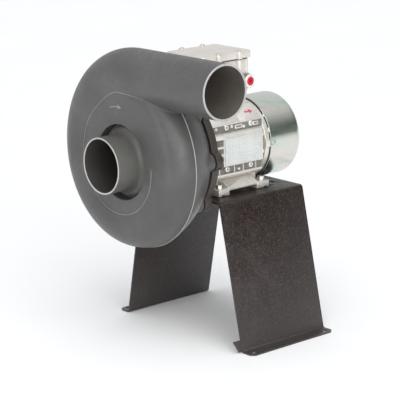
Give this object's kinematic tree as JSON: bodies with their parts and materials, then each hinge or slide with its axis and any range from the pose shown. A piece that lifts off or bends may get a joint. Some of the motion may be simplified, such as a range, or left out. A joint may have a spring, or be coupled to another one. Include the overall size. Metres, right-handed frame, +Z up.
{
  "type": "centrifugal blower",
  "caption": "Direct-drive centrifugal blower: moulded volute with inlet spigot and round outlet, finned foot motor with terminal box and fan cowl, on a bent-sheet pedestal.",
  "frame": {"origin": "centre of the whole blower's box on the floor under the pedestal", "axes": "+Z up; the inlet faces -Y, the shaft lies along Y, and the outlet faces +X"},
  "size_m": [0.3786, 0.366, 0.4838],
  "materials": {
    "pedestal_paint": "textured",
    "motor_alloy": "cast, painted",
    "box_alloy": "cast, painted",
    "fastener_zinc": "zinc plated",
    "bearing_steel": "ground",
    "shaft_steel": "turned",
    "lamination": "stacked sheet",
    "copper_wire": "varnished",
    "nameplate_foil": "satin",
    "cowl_zinc": "galvanised",
    "black_rubber": "matte",
    "board_plastic": "moulded",
    "gland_plastic": "moulded",
    "plug_plastic": "moulded",
    "adaptor_plastic": "moulded",
    "casing_plastic": "satin",
    "spigot_plastic": "satin",
    "impeller_plastic": "satin",
    "fan_plastic": "satin"
  },
  "bodies": {
    "stationary": {"pedestal": "pedestal_paint", "right_motor_foot": "motor_alloy", "left_motor_foot": "motor_alloy", "foot_bolt_1": "fastener_zinc", "foot_bolt_2": "fastener_zinc", "foot_bolt_3": "fastener_zinc", "foot_bolt_4": "fastener_zinc", "foot_nut_1": "fastener_zinc", "foot_nut_2": "fastener_zinc", "foot_nut_3": "fastener_zinc", "foot_nut_4": "fastener_zinc", "stator_housing": "motor_alloy", "drive_end_shield": "motor_alloy", "rear_end_shield": "motor_alloy", "front_bearing": "bearing_steel", "rear_bearing": "bearing_steel", "stator_core": "lamination", "front_winding": "copper_wire", "rear_winding": "copper_wire", "nameplate": "nameplate_foil", "fan_cowl": "cowl_zinc", "cowl_screw_1": "fastener_zinc", "cowl_screw_2": "fastener_zinc", "cowl_screw_3": "fastener_zinc", "terminal_box": "box_alloy", "lid_gasket": "black_rubber", "terminal_box_lid": "box_alloy", "lid_screw_1": "fastener_zinc", "lid_screw_2": "fastener_zinc", "lid_screw_3": "fastener_zinc", "lid_screw_4": "fastener_zinc", "terminal_board": "board_plastic", "cable_gland": "gland_plastic", "gland_plug": "plug_plastic", "motor_adaptor": "adaptor_plastic", "casing_screw_1": "fastener_zinc", "casing_screw_2": "fastener_zinc", "casing_screw_3": "fastener_zinc", "casing_screw_4": "fastener_zinc", "casing_screw_5": "fastener_zinc", "casing_screw_6": "fastener_zinc", "casing_screw_7": "fastener_zinc", "casing_screw_8": "fastener_zinc", "flange_screw_1": "fastener_zinc", "flange_screw_2": "fastener_zinc", "flange_screw_3": "fastener_zinc", "flange_screw_4": "fastener_zinc", "volute_front_shell": "casing_plastic", "volute_back_shell": "casing_plastic", "inlet_spigot": "spigot_plastic", "shaft_seal": "black_rubber"},
    "rotor": {"motor_shaft": "shaft_steel", "impeller_hub": "shaft_steel", "hub_washer": "fastener_zinc", "hub_bolt": "fastener_zinc", "impeller": "impeller_plastic", "impeller_shroud": "impeller_plastic", "rotor_core": "lamination", "cooling_fan": "fan_plastic", "fan_circlip": "shaft_steel"}
  },
  "joints": [
    {"name": "impeller_spin", "type": "hinge", "parent": "stationary", "child": "rotor", "pos_m": [-0.01875, -0.025, 0.3078], "axis": [0, 1, 0], "continuous": true}
  ]
}
